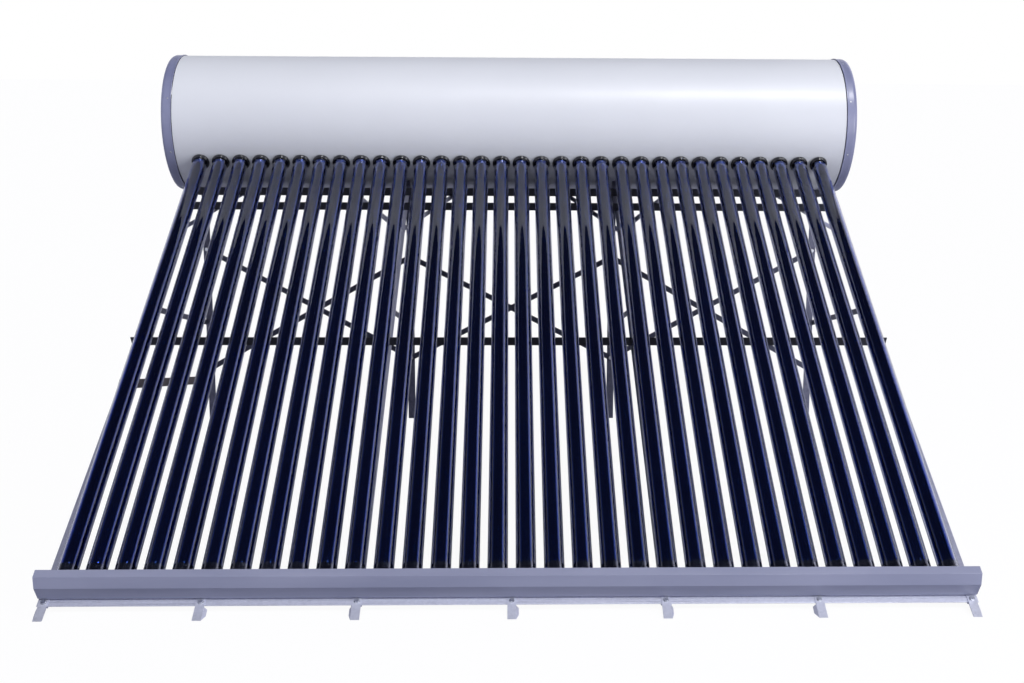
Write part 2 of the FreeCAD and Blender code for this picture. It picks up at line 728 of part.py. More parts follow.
def make_cross_braces():
    """Two crossing strips in each bay of the rear frame, one layer each."""
    for bay in range(3):
        left, right = FRAME_X[bay], FRAME_X[bay + 1]
        low_left, high_left = cross_heights(bay)
        low_right, high_right = cross_heights(bay + 1)
        runs = [("a", high_left, low_right, 0.0), ("b", low_left, high_right, d.steel_sheet.value)]
        for letter, first, last, layer in runs:
            strip("cross_brace_%d%s" % (bay + 1, letter), rear_point(left, first), rear_point(right, last),
                  REAR_NORMAL, d.flat_width, layer)


def side_strip_ends(x, side, along, height):
    """Bolt places of a side strip, on the outer faces of the two legs' webs."""
    outer = x + side * d.leg_flange.value / 2
    middle = WEB_MIDDLE * d.leg_flange.value
    return leg_point(outer, along, -middle), rear_frame(outer, height).multVec(Vector(0, middle, 0))


def side_strips():
    """Name, frame, ends and width of every strip that ties a front leg to its rear leg."""
    strips = [("side_strut_%d" % (k + 1), k, d.strut_front.value, d.strut_rear.value, d.flat_width)
              for k in range(4)]
    strips.append(("left_side_tie", 0, d.tie_front.value, d.tie_rear.value, d.tie_width))
    return strips


def web_holes(label, index, at_front):
    """Holes through a leg's web for its side strips."""
    x, side = FRAME_X[index], SIDE[index]
    tools = []
    for name, k, along, height, _ in side_strips():
        if k == index:
            front, rear = side_strip_ends(x, side, along, height)
            place = Placement(front if at_front else rear, Rotation(Vector(0, 1, 0), 90))
            tools.append(drill("%s_%s_hole" % (label, name), place, 12.0))
    return tools


def make_side_strips():
    lift = {-1: -d.steel_sheet.value, 1: 0.0}
    for name, k, along, height, width in side_strips():
        front, rear = side_strip_ends(FRAME_X[k], SIDE[k], along, height)
        strip(name, front, rear, X_AXIS, width, lift[SIDE[k]])


def make_cradle(number, x):
    """A bent strip under the tank, from the front leg's head to the rear leg's head."""
    label = "tank_cradle_%d" % number
    frame = Placement(Vector(x, TANK_Y, TANK_Z), Rotation())
    body = new_body(label, frame)
    inner = d.tank_diameter.value / 2 + 0.4
    outer = inner + 3.0
    first, last = math.radians(-36), math.radians(12)
    sketch = new_sketch(body, "YZ_Plane", label + "_section")
    centre, up = Vector(0, 0, 0), Vector(0, 0, 1)
    down = -math.pi / 2
    for radius in (inner, outer):
        circle = Part.Circle(centre, up, radius)
        sketch.addGeometry(Part.ArcOfCircle(circle, down + first, down + last), False)
    for angle in (first, last):
        ends = [Vector(math.sin(angle) * r, -math.cos(angle) * r, 0) for r in (inner, outer)]
        sketch.addGeometry(Part.LineSegment(*ends), False)
    for a, a_end, b, b_end in ((2, 1, 0, 1), (2, 2, 1, 1), (3, 1, 0, 2), (3, 2, 1, 2)):
        sketch.addConstraint(Sketcher.Constraint("Coincident", a, a_end, b, b_end))
    pad(body, sketch, d.leg_flange + 8)


def hex_bolt(name, at, grip):
    """Head above the placement, shank through the grip and a nut below it."""
    pieces = []
    for part, low, tall in (("head", 0.0, 5.3), ("nut", -grip - 6.5, 6.5)):
        prism = doc.addObject("Part::Prism", "%s_%s" % (name, part))
        prism.Polygon = 6
        bind(prism, Circumradius=d.bolt_head / math.sqrt(3), Height=tall)
        prism.Placement = at.multiply(shift(z=low))
        pieces.append(prism)
    shank = doc.addObject("Part::Cylinder", name + "_shank")
    bind(shank, Radius=d.bolt_diameter / 2, Height=grip + 12)
    shank.Placement = at.multiply(shift(z=-grip - 10))
    washer = doc.addObject("Part::Cylinder", name + "_washer")
    bind(washer, Radius=d.bolt_head * 0.62, Height=1.2)
    washer.Placement = at
    return fuse(name, pieces + [shank, washer])


def bolt_group(label, bolts):
    """Identical bolts share one file, one solid each."""
    group = doc.addObject("Part::Compound", label)
    group.Links = [hex_bolt("%s_%d" % (label, i), at, grip) for i, (at, grip) in enumerate(bolts)]
    keep(group, label)


def make_bolts():
    thick = d.steel_sheet.value
    on_leg, on_rail = 3 * thick, 2 * thick
    bolt_group("foot_bolts", [(leg_frame(x, d.foot_bolt_row.value, FOOT_LIFT), on_rail if k % 2 else on_leg)
                              for k, x in enumerate(foot_places())])
    rails = []
    for _, start in RAIL_STARTS:
        rails += [(leg_frame(x, start.value + RAIL_BOLT, thick), 2 * thick) for x in FRAME_X]
    top_row = d.tank_rail_start.value + RAIL_BOLT
    rails += [(leg_frame(x, top_row, thick), 3 * thick) for x, _ in knee_tops()]
    forward = Rotation(X_AXIS, 90)
    braces = [(leg_frame(x, d.knee_start.value), 2 * thick if x in (FRAME_X[0], FRAME_X[3]) else 3 * thick)
              for x in FRAME_X]
    for index, x in enumerate(FRAME_X):
        for height in cross_heights(index):
            at = rear_frame(x, height)
            at = Placement(at.Base + REAR_NORMAL * 2 * thick, at.Rotation.multiply(forward))
            braces.append((at, 3 * thick))
    for _, k, along, height, _ in side_strips():
        outward = Rotation(Vector(0, 1, 0), 90 * SIDE[k])
        for point in side_strip_ends(FRAME_X[k], SIDE[k], along, height):
            braces.append((Placement(point + Vector(SIDE[k] * thick, 0, 0), outward), 2 * thick))
    bolt_group("stand_bolts", rails + braces)


def make_stand():
    for number, (x, side) in enumerate(zip(FRAME_X, SIDE), 1):
        make_front_leg(number, x, side)
        make_rear_leg(number, x, side)
        make_cradle(number, x)
    make_side_strips()
    for number, x in enumerate(foot_places(), 1):
        make_foot(number, x, FOOT_EDGES[number - 1])
    make_rails()
    make_knee_braces()
    make_cross_braces()
    make_bolts()


def check_and_write():
    """Stop on any failed object, then write one STEP file for each sub-part."""
    doc.recompute()
    for item in doc.Objects:
        if "Invalid" in item.State or "Error" in item.State:
            raise RuntimeError("failed object: %s %s" % (item.Name, item.State))
    os.makedirs("parts", exist_ok=True)
    for item in PARTS:
        shape = item.Shape
        if shape.isNull() or not shape.isValid():
            raise RuntimeError("bad shape: " + item.Label)
        shape.exportStep("parts/%s.step" % item.Label)
        print("%-22s solids %3d volume %12.0f" % (item.Label, len(shape.Solids), shape.Volume))
    print(len(PARTS), "parts")


make_tank_shell()
make_insulation()
make_inner_tank()
make_end_cap("end_cap_left", -1)
make_end_cap("end_cap_right", 1)
make_nipple("cold_inlet_nipple", -d.nipple_spread)
make_nipple("vent_nipple", 0.0)
make_nipple("hot_outlet_nipple", d.nipple_spread)
make_grommets()
make_tubes()
make_seals()
make_tail_cups()
make_tail()
make_stand()
check_and_write()
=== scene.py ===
"""Looks of an evacuated-tube solar water heater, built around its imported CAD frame.

Metres, +Z up, +X along the tank; the tubes rise towards +Y.
"""
import math

import bpy
from mathutils import Matrix, Vector


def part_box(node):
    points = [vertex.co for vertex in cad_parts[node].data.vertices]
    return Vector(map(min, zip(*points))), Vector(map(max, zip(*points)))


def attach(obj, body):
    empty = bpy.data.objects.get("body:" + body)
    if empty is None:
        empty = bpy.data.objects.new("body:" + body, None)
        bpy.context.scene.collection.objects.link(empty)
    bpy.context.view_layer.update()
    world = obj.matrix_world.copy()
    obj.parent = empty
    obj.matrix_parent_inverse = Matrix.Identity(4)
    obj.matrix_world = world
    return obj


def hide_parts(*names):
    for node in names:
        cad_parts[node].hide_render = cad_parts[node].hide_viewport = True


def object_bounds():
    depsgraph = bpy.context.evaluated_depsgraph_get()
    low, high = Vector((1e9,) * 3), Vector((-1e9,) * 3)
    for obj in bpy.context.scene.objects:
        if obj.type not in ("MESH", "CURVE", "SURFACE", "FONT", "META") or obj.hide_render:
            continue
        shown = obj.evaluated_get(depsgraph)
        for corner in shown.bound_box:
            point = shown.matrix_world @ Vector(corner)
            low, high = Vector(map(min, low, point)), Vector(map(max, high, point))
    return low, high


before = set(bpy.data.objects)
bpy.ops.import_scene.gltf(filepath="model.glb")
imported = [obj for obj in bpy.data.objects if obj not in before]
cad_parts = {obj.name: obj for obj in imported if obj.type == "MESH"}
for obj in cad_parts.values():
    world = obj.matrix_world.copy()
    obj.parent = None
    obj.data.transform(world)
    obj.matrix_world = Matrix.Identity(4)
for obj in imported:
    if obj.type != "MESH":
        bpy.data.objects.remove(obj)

CAD_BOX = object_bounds()

# Driving sizes of the real thing.
TILT = math.radians(31.2)
TUBE_COUNT = 32
TUBE_LENGTH = 2.1
GLASS_RADIUS = 0.029
GLASS_WALL = 0.0018
COATED_RADIUS = 0.0235
VACUUM_GAP = 0.036
RING_RADIUS = 0.035
CAP_BAND = 0.042
CAP_SHEET = 0.0015
FIT_GAP = 0.0002
NIPPLE_RADIUS = 0.0166
NIPPLE_BORE = 0.0135
THREAD_PITCH = 0.0023
NIPPLE_SPREAD = 1.05

# Places read from the frame.
shell_low, shell_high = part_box("tank_shell")
TANK = (shell_low + shell_high) / 2
TANK_RADIUS = (shell_high.y - shell_low.y) / 2
CAP_RADIUS = (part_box("end_cap_left")[1].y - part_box("end_cap_left")[0].y) / 2
TANK_END = CAD_BOX[1].x
glass_low, glass_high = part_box("outer_glass_tubes")
FIRST_X = glass_low.x + GLASS_RADIUS
PITCH = (glass_high.x - glass_low.x - 2 * GLASS_RADIUS) / (TUBE_COUNT - 1)
TUBE_TOP = (glass_high.y - GLASS_RADIUS * math.sin(TILT) - TANK.y) / math.cos(TILT)
TUBE_TIP = TUBE_TOP - TUBE_LENGTH
INNER_TIP = TUBE_TIP + VACUUM_GAP


# Node materials --------------------------------------------------------------

def material(name, color, roughness, **sockets):
    made = bpy.data.materials.new(name)
    made.use_nodes = True
    shader = made.node_tree.nodes["Principled BSDF"]
    shader.inputs["Base Color"].default_value = (*color, 1)
    shader.inputs["Roughness"].default_value = roughness
    for socket, value in sockets.items():
        shader.inputs[socket.replace("_", " ")].default_value = value
    return made


def add(made, kind, **settings):
    node = made.node_tree.nodes.new(kind)
    for name, value in settings.items():
        if name in node.inputs:
            node.inputs[name].default_value = value
        else:
            setattr(node, name, value)
    return node


def join(made, out, into):
    made.node_tree.links.new(out, into)


def noise(made, scale, detail=3.0, stretch=(1, 1, 1)):
    """A noise pattern in the object's own metres, stretched along its axes."""
    where = add(made, "ShaderNodeTexCoord")
    mapping = add(made, "ShaderNodeMapping", Scale=stretch)
    pattern = add(made, "ShaderNodeTexNoise", Scale=scale, Detail=detail)
    join(made, where.outputs["Object"], mapping.inputs["Vector"])
    join(made, mapping.outputs["Vector"], pattern.inputs["Vector"])
    return pattern.outputs["Fac"]


def blotches(made, scale):
    """Cells with one random value each, as on zinc spangle."""
    where = add(made, "ShaderNodeTexCoord")
    cells = add(made, "ShaderNodeTexVoronoi", Scale=scale)
    grey = add(made, "ShaderNodeSeparateColor")
    join(made, where.outputs["Object"], cells.inputs["Vector"])
    join(made, cells.outputs["Color"], grey.inputs["Color"])
    return grey.outputs["Red"]


def colour_by(made, pattern, dark, light, low=0.35, high=0.65):
    ramp = add(made, "ShaderNodeValToRGB")
    ramp.color_ramp.elements[0].position = low
    ramp.color_ramp.elements[0].color = (*dark, 1)
    ramp.color_ramp.elements[1].position = high
    ramp.color_ramp.elements[1].color = (*light, 1)
    join(made, pattern, ramp.inputs["Fac"])
    join(made, ramp.outputs["Color"], made.node_tree.nodes["Principled BSDF"].inputs["Base Color"])


def roughness_by(made, pattern, smooth, rough):
    span = add(made, "ShaderNodeMapRange")
    span.inputs["To Min"].default_value = smooth
    span.inputs["To Max"].default_value = rough
    join(made, pattern, span.inputs["Value"])
    join(made, span.outputs["Result"], made.node_tree.nodes["Principled BSDF"].inputs["Roughness"])


def bump_by(made, pattern, depth, strength=0.3):
    bump = add(made, "ShaderNodeBump", Strength=strength, Distance=depth)
    join(made, pattern, bump.inputs["Height"])
    join(made, bump.outputs["Normal"], made.node_tree.nodes["Principled BSDF"].inputs["Normal"])


def casing_paint():
    """Pale baked enamel with a faint orange peel and a little handling dullness."""
    made = material("casing_enamel", (0.73, 0.75, 0.81), 0.45, Coat_Weight=0.1, Coat_Roughness=0.25)
    colour_by(made, noise(made, 1.6), (0.715, 0.735, 0.795), (0.74, 0.76, 0.82))
    roughness_by(made, noise(made, 9.0), 0.40, 0.55)
    bump_by(made, noise(made, 420.0, 2.0), 0.0002, 0.12)
    return made


def cap_paint():
    made = material("cap_enamel", (0.27, 0.29, 0.45), 0.33, Coat_Weight=0.3, Coat_Roughness=0.15)
    colour_by(made, noise(made, 7.0), (0.20, 0.215, 0.36), (0.26, 0.275, 0.43))
    roughness_by(made, noise(made, 22.0), 0.26, 0.42)
    bump_by(made, noise(made, 380.0, 2.0), 0.0002, 0.15)
    return made


def sheet_paint(name, dark, light, shine=0.4):
    """Powder-coated sheet: cloudy colour, fine grain and duller streaks along X."""
    made = material(name, light, shine, Coat_Weight=0.12, Coat_Roughness=0.25)
    colour_by(made, noise(made, 5.0, 5.0, (0.4, 2, 2)), dark, light, 0.3, 0.7)
    roughness_by(made, noise(made, 30.0, 4.0, (0.3, 3, 3)), shine - 0.1, shine + 0.12)
    bump_by(made, noise(made, 700.0, 2.0), 0.00025, 0.2)
    return made


def clear_glass():
    """Borosilicate tube: clear, a breath of blue, wiped almost clean of dust."""
    made = material("borosilicate", (0.90, 0.92, 1.0), 0.0, Transmission_Weight=1.0, IOR=1.47)
    colour_by(made, noise(made, 3.0), (0.86, 0.88, 0.98), (0.93, 0.95, 1.0))
    roughness_by(made, noise(made, 14.0, 5.0, (1, 0.3, 0.3)), 0.0, 0.03)
    return made


def selective_coating():
    """Sputtered absorber: nearly black seen straight on, blue to violet at a slant."""
    made = material("selective_coating", (0.025, 0.060, 0.28), 0.12, Metallic=1.0,
                    Coat_Weight=0.15, Coat_Roughness=0.04)
    made.node_tree.nodes["Principled BSDF"].inputs["Specular Tint"].default_value = (0.42, 0.46, 0.95, 1)
    colour_by(made, noise(made, 4.0, 3.0, (3, 0.5, 0.5)), (0.016, 0.046, 0.215), (0.028, 0.068, 0.290))
    roughness_by(made, noise(made, 40.0, 4.0, (2, 0.3, 0.3)), 0.08, 0.15)
    return made


def black_rubber():
    made = material("black_rubber", (0.006, 0.006, 0.010), 0.2, Coat_Weight=0.6, Coat_Roughness=0.06)
    colour_by(made, noise(made, 60.0), (0.004, 0.004, 0.008), (0.010, 0.010, 0.016))
    roughness_by(made, noise(made, 90.0), 0.14, 0.26)
    bump_by(made, noise(made, 900.0, 2.0), 0.0002, 0.2)
    return made


def silicone():
    made = material("silicone", (0.45, 0.09, 0.06), 0.45, Subsurface_Weight=0.1)
    colour_by(made, noise(made, 80.0), (0.38, 0.07, 0.045), (0.50, 0.11, 0.07))
    bump_by(made, noise(made, 800.0), 0.0002, 0.2)
    return made


def black_plastic():
    made = material("moulded_black", (0.02, 0.02, 0.024), 0.5)
    colour_by(made, noise(made, 50.0), (0.015, 0.015, 0.018), (0.032, 0.032, 0.038))
    roughness_by(made, noise(made, 35.0), 0.42, 0.6)
    bump_by(made, noise(made, 1400.0, 2.0), 0.0002, 0.35)
    return made


def bare_metal(name, dark, light, shine, stretch=(1, 1, 1), grain=600.0):
    made = material(name, light, shine, Metallic=1.0)
    colour_by(made, noise(made, 40.0), dark, light)
    roughness_by(made, noise(made, 120.0, 4.0, stretch), shine - 0.08, shine + 0.1)
    bump_by(made, noise(made, grain, 2.0, stretch), 0.0001, 0.25)
    return made


def getter_mirror():
    """Barium film on the glass: a dark mirror, thinner in places."""
    made = material("getter_mirror", (0.10, 0.10, 0.11), 0.2, Metallic=1.0)
    colour_by(made, noise(made, 30.0, 4.0), (0.10, 0.10, 0.115), (0.24, 0.24, 0.26))
    roughness_by(made, noise(made, 55.0), 0.12, 0.3)
    return made


def foam():
    made = material("polyurethane_foam", (0.80, 0.70, 0.42), 0.85)
    colour_by(made, noise(made, 25.0), (0.70, 0.58, 0.32), (0.86, 0.77, 0.50))
    bump_by(made, blotches(made, 900.0), 0.0008, 0.6)
    return made


def galvanised(name, dark, light):
    """Zinc-coated strip with a soft spangle."""
    made = material(name, light, 0.42, Metallic=0.55)
    colour_by(made, blotches(made, 150.0), dark, light, 0.0, 1.0)
    roughness_by(made, noise(made, 60.0), 0.34, 0.52)
    bump_by(made, noise(made, 500.0), 0.0002, 0.18)
    return made


# Mesh helpers ------------------------------------------------------------------

def rounded(points, radius, steps=4):
    """The open or closed outline with each inner corner turned into a short arc."""
    made = [Vector(points[0])]
    for before, corner, after in zip(points, points[1:], points[2:]):
        corner = Vector(corner)
        back, ahead = Vector(before) - corner, Vector(after) - corner
        reach = min(radius, back.length * 0.45, ahead.length * 0.45)
        first, last = corner + back.normalized() * reach, corner + ahead.normalized() * reach
        for k in range(steps + 1):
            t = k / steps
            made.append(first * (1 - t) ** 2 + corner * 2 * t * (1 - t) + last * t ** 2)
    made.append(Vector(points[-1]))
    return [tuple(p) for p in made]


def turned(profile, segments, closed=False):
    """Corners and faces of an outline of (radius, height) points turned about local Z."""
    corners, rings = [], []
    for radius, height in profile:
        if radius < 1e-7:
            rings.append([len(corners)] * segments)
            corners.append(Vector((0, 0, height)))
            continue
        rings.append(list(range(len(corners), len(corners) + segments)))
        for k in range(segments):
            angle = 2 * math.pi * k / segments
            corners.append(Vector((radius * math.cos(angle), radius * math.sin(angle), height)))
    faces = []
    pairs = list(zip(rings, rings[1:]))
    if closed:
        pairs.append((rings[-1], rings[0]))
    for low, high in pairs:
        for k in range(segments):
            after = (k + 1) % segments
            face = [low[k], low[after], high[after], high[k]]
            face = [c for i, c in enumerate(face) if c not in face[:i]]
            if len(face) > 2:
                faces.append(face)
    return corners, faces


def circle(radius, height, size, count):
    """A small round section to be turned about local Z, as for a ring of wire."""
    angles = [2 * math.pi * k / count for k in range(count)]
    return [(radius + size * math.cos(a), height + size * math.sin(a)) for a in angles]


def merged(parts):
    """Several (corners, faces) joined into one."""
    corners, faces = [], []
    for more_corners, more_faces in parts:
        base = len(corners)
        corners += more_corners
        faces += [[base + c for c in face] for face in more_faces]
    return corners, faces


def placed(part, matrix):
    corners, faces = part
    return [matrix @ corner for corner in corners], faces


def piece(name, part, look, replaced=(), crease=35):
    """A finished visible piece with smooth faces and creased edges."""
    corners, faces = part
    mesh = bpy.data.meshes.new(name)
    mesh.from_pydata([tuple(c) for c in corners], [], faces)
    mesh.materials.append(look)
    mesh.shade_smooth()
    mesh.set_sharp_from_angle(angle=math.radians(crease))
    obj = bpy.data.objects.new(name, mesh)
    bpy.context.scene.collection.objects.link(obj)
    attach(obj, "root")
    if replaced:
        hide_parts(*replaced)
    return obj


def tube_frames():
    """One frame for each tube: origin on the tank's axis, local Z up the tube."""
    lean = Matrix.Rotation(TILT - math.pi / 2, 4, "X")
    return [Matrix.Translation((FIRST_X + k * PITCH, TANK.y, TANK.z)) @ lean for k in range(TUBE_COUNT)]


def tube_row(name, part, look, replaced):
    return piece(name, merged([placed(part, at) for at in tube_frames()]), look, replaced)


# Tubes ---------------------------------------------------------------------------

def dome(radius, tip, steps=10):
    """A half round end from its pole up to the straight wall."""
    quarter = math.pi / 2
    return [(radius * math.sin(k / steps * quarter), tip + radius * (1 - math.cos(k / steps * quarter)))
            for k in range(steps + 1)]


def make_glass():
    """Outer tubes, each closed by a glass ring against its inner tube at the top."""
    bore, joint = GLASS_RADIUS - GLASS_WALL, COATED_RADIUS + FIT_GAP
    ring = TUBE_TOP - 0.003
    neck = [(GLASS_RADIUS, TUBE_TOP - 0.004), (GLASS_RADIUS - 0.002, TUBE_TOP), (joint, TUBE_TOP),
            (joint, ring), (bore, ring)]
    inside = dome(bore, TUBE_TIP + GLASS_WALL)
    profile = dome(GLASS_RADIUS, TUBE_TIP) + neck + inside[::-1]
    tube_row("glass_tubes", turned(profile, 44), clear_glass(), ["outer_glass_tubes"])


def make_coated_tubes():
    """Inner tubes, coated on the outside, closed at the lower end."""
    wall = COATED_RADIUS - GLASS_WALL
    inside = dome(wall, INNER_TIP + GLASS_WALL)
    profile = dome(COATED_RADIUS, INNER_TIP) + [(COATED_RADIUS, TUBE_TOP), (wall, TUBE_TOP)] + inside[::-1]
    tube_row("coated_tubes", turned(profile, 40), selective_coating(), ["absorber_tubes"])


def spring_finger(angle, grip, brim, low, high):
    """One bent spring strip from the clip's collar out to the outer glass."""
    width, thick, steps = 0.007, 0.0007, 8
    turn = Matrix.Rotation(angle, 4, "Z")
    corners = []
    for k in range(steps + 1):
        t = k / steps
        radius = grip + (brim - grip) * math.sin(t * math.pi * 0.62) / math.sin(math.pi * 0.62) ** 0.5
        height = low + (high - low) * t
        radius = min(radius, brim)
        for side in (-1, 1):
            for out in (0.0, thick):
                corners.append(turn @ Vector((radius - out, side * width / 2, height)))
    faces = []
    for k in range(steps):
        a, b = 4 * k, 4 * k + 4
        faces += [[a, a + 2, b + 2, b], [a + 1, b + 1, b + 3, a + 3],
                  [a, b, b + 1, a + 1], [a + 2, a + 3, b + 3, b + 2]]
    last = 4 * steps
    return corners, faces + [[0, 1, 3, 2], [last, last + 2, last + 3, last + 1]]


def make_getter_film():
    """The mirror film inside the closed end of each outer tube."""
    outer, film = GLASS_RADIUS - GLASS_WALL - FIT_GAP, 0.0002
    base, top = TUBE_TIP + GLASS_WALL + FIT_GAP, INNER_TIP + 0.014
    profile = dome(outer, base) + [(outer, top), (outer - film, top)] + dome(outer - film, base + film)[::-1]
    tube_row("getter_film", turned(profile, 36), getter_mirror(), [])


def make_clips():
    """Spring clips that centre the inner tubes, with the getter ring below each."""
    grip = COATED_RADIUS * 0.83
    brim = GLASS_RADIUS - GLASS_WALL - 0.0003
    low, high = INNER_TIP - 0.018, INNER_TIP + 0.008
    flare, strip = high - 0.010, 0.0008
    outline = [(grip, low), (grip, flare), (grip - 0.0012, high - 0.006), (grip - 0.002, high - 0.006),
               (grip - strip, flare), (grip - strip, low), (grip, low)]
    collar = turned(rounded(outline, 0.0004, 2), 32)
    fingers = [spring_finger(2 * math.pi * k / 4 + 0.4, grip, brim, low + 0.006, high) for k in range(4)]
    getter = turned(circle(0.010, low - 0.004, 0.0016, 8), 24, closed=True)
    look = bare_metal("spring_steel", (0.16, 0.16, 0.17), (0.42, 0.42, 0.45), 0.24)
    tube_row("spring_clips", merged([collar, getter] + fingers), look, ["getter_clips"])


def make_dust_rings():
    """Glossy rubber collars: a rolled bead on the casing and a thin lip on the glass."""
    face = -TANK_RADIUS
    hole = 0.031
    outline = [(GLASS_RADIUS, face + 0.008), (GLASS_RADIUS, face - 0.017),
               (GLASS_RADIUS + 0.0026, face - 0.017), (GLASS_RADIUS + 0.0030, face - 0.0125),
               (RING_RADIUS, face - 0.0105), (RING_RADIUS, face - 0.003),
               (RING_RADIUS - 0.002, face - 0.0008), (hole, face - 0.0008), (hole, face + 0.008),
               (GLASS_RADIUS, face + 0.008)]
    tube_row("rubber_dust_rings", turned(rounded(outline, 0.0022, 4), 48), black_rubber(),
             ["dust_rings"])


# Tank ------------------------------------------------------------------------------

def along_x(side):
    """A frame on the tank's axis whose local Z points to one end of the tank."""
    return Matrix.Translation((0, TANK.y, TANK.z)) @ Matrix.Rotation(side * math.pi / 2, 4, "Y")


def make_caps():
    """Pressed caps: rolled lip at the seam, rim band, wide edge and a stepped face."""
    look = cap_paint()
    end, lip = TANK_END, CAP_RADIUS
    seam = end - CAP_BAND
    rim = TANK_RADIUS + 0.0003
    outline = [(rim, seam + 0.0004), (lip, seam), (lip, seam + 0.0045),
               (lip - CAP_SHEET, seam + 0.0065),
               (lip - CAP_SHEET, end - 0.012), (lip - 0.006, end - 0.002), (lip - 0.017, end),
               (lip - 0.040, end), (lip - 0.046, end - 0.006), (0.120, end - 0.006), (0.114, end - 0.0042),
               (0.060, end - 0.0042), (0.054, end - 0.006), (0.0, end - 0.006)]
    inner = [(0.0, end - 0.0075), (lip - 0.047, end - 0.0075), (lip - 0.041, end - 0.0016),
             (lip - 0.0165, end - 0.0016), (lip - 0.0075, end - 0.004), (rim, end - 0.013),
             (rim, seam + 0.0004)]
    profile = rounded(outline, 0.004, 5) + rounded(inner, 0.003, 3)
    for name, side in (("left", -1), ("right", 1)):
        cap = turned(profile, 160)
        piece("pressed_cap_" + name, placed(cap, along_x(side)), look, ["end_cap_" + name], 50)
        # A thin black bead along the seam: painted shade standing for the shadow under the cap's lip.
        seam_shade_bead = turned(circle(TANK_RADIUS + 0.0004, seam - 0.0009, 0.0011, 10), 160, closed=True)
        piece("cap_seam_shade_" + name, placed(seam_shade_bead, along_x(side)), LOOKS["black_rubber"])
        make_cap_screws(name, side, seam)


def make_cap_screws(name, side, seam):
    """Low domed screws round the cap's band."""
    head = turned([(0.0, 0.0012), (0.0012, 0.00115), (0.0026, 0.0008), (0.0036, 0.0)], 16)
    count = 8
    parts = []
    for k in range(count):
        angle = 2 * math.pi * (k + 0.5) / count
        out = Matrix.Rotation(angle, 4, "Z") @ Matrix.Translation((CAP_RADIUS - 0.0016, 0, seam + 0.014))
        parts.append(placed(head, along_x(side) @ out @ Matrix.Rotation(math.pi / 2, 4, "Y")))
    piece("cap_screws_" + name, merged(parts), LOOKS["zinc"])


def make_nipple(node, x):
    """A threaded steel nipple with a plain neck, standing out of the casing."""
    start, reach = TANK_RADIUS + 0.008, TANK_RADIUS + 0.034
    outer, bore, inside = NIPPLE_RADIUS, NIPPLE_BORE, TANK_RADIUS - 0.06
    neck, root = outer - 0.0008, outer - 0.0012
    profile = [(bore, inside), (neck, inside), (neck, start)]
    turns = int((reach - 0.0015 - start) / THREAD_PITCH)
    for k in range(turns):
        low = start + k * THREAD_PITCH
        crest = (low + THREAD_PITCH * 0.45, low + THREAD_PITCH * 0.60)
        profile += [(root, low + 0.0002), (outer, crest[0]), (outer, crest[1])]
    profile += [(root, reach - 0.0014), (outer - 0.0022, reach), (bore + 0.0008, reach),
                (bore, reach - 0.001), (bore, inside)]
    at = Matrix.Translation((x, TANK.y, TANK.z)) @ Matrix.Rotation(TILT - math.pi / 2, 4, "X")
    nipple = placed(turned(profile, 48), at)
    piece(node.replace("nipple", "thread"), nipple, LOOKS["nipple"], [node])


def make_back_seam():
    """The casing sheet's folded lock seam, low on the back of the tank."""
    angle = math.radians(-38)
    half = TANK_END - CAP_BAND
    low = TANK_RADIUS - 0.0002
    fold = low + 0.0014
    section = rounded([(-0.0075, low), (-0.0065, fold), (0.0065, fold), (0.0075, low)], 0.0012, 4)
    corners, faces = [], []
    for x in (-half, half):
        for across, out in section:
            turn = angle + across / TANK_RADIUS
            corners.append(Vector((x, TANK.y + out * math.cos(turn), TANK.z + out * math.sin(turn))))
    count = len(section)
    for k in range(count - 1):
        faces.append([k, k + 1, count + k + 1, count + k])
    faces += [list(range(count))[::-1], list(range(count, 2 * count)), [0, count, 2 * count - 1, count - 1]]
    piece("casing_lock_seam", (corners, faces), LOOKS["casing"])


# Carried-over CAD nodes ----------------------------------------------------------------

def soften(node, width):
    """Round a CAD part's sharp edges for the light, without touching its mesh."""
    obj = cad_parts[node]
    weld = obj.modifiers.new("weld", "WELD")
    weld.merge_threshold = 0.00002
    bevel = obj.modifiers.new("edge_radius", "BEVEL")
    bevel.width = width
    bevel.segments = 2
    bevel.limit_method = "ANGLE"
    bevel.angle_limit = math.radians(40)
    bevel.harden_normals = True
    return obj


def dress(node, look):
    mesh_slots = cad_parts[node].material_slots
    if not mesh_slots:
        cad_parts[node].data.materials.append(look)
    for holder in mesh_slots:
        holder.material = look


LOOKS = {
    "casing": casing_paint(),
    "black_rubber": black_rubber(),
    "zinc": bare_metal("bright_zinc", (0.55, 0.57, 0.62), (0.78, 0.80, 0.85), 0.28),
    "nipple": bare_metal("turned_steel", (0.50, 0.50, 0.48), (0.70, 0.70, 0.68), 0.27, (1, 4, 4)),
    "stainless": bare_metal("stainless", (0.60, 0.60, 0.60), (0.72, 0.72, 0.72), 0.3, (0.2, 4, 4)),
    "foam": foam(),
    "silicone": silicone(),
    "cups": black_plastic(),
    "cover": sheet_paint("cover_paint", (0.22, 0.235, 0.35), (0.28, 0.295, 0.42)),
    "legs": galvanised("leg_steel", (0.40, 0.41, 0.55), (0.45, 0.46, 0.61)),
    # The foot colour is a lighter copy of the leg steel: painted light on the feet and bottom rail, whose
    # faces catch the light.
    "foot_look_painted_light": galvanised("foot_zinc_painted_light", (0.60, 0.62, 0.75), (0.66, 0.68, 0.81)),
    # The rear, rail and brace colours below are darker copies of the frame's steel and paint: painted shade
    # for parts that lie in shadow under the tank and behind the tubes.
    "rear": galvanised("rear_zinc_painted_shade", (0.10, 0.105, 0.16), (0.15, 0.155, 0.23)),
    "rail_look_painted_shade": sheet_paint("rail_coat_painted_shade", (0.018, 0.020, 0.032), (0.034, 0.037, 0.055), 0.45),
    "brace_look_painted_shade": galvanised("brace_zinc_painted_shade", (0.05, 0.055, 0.09), (0.085, 0.09, 0.14)),
    "tie": sheet_paint("tie_paint", (0.10, 0.08, 0.08), (0.17, 0.14, 0.14), 0.5),
}
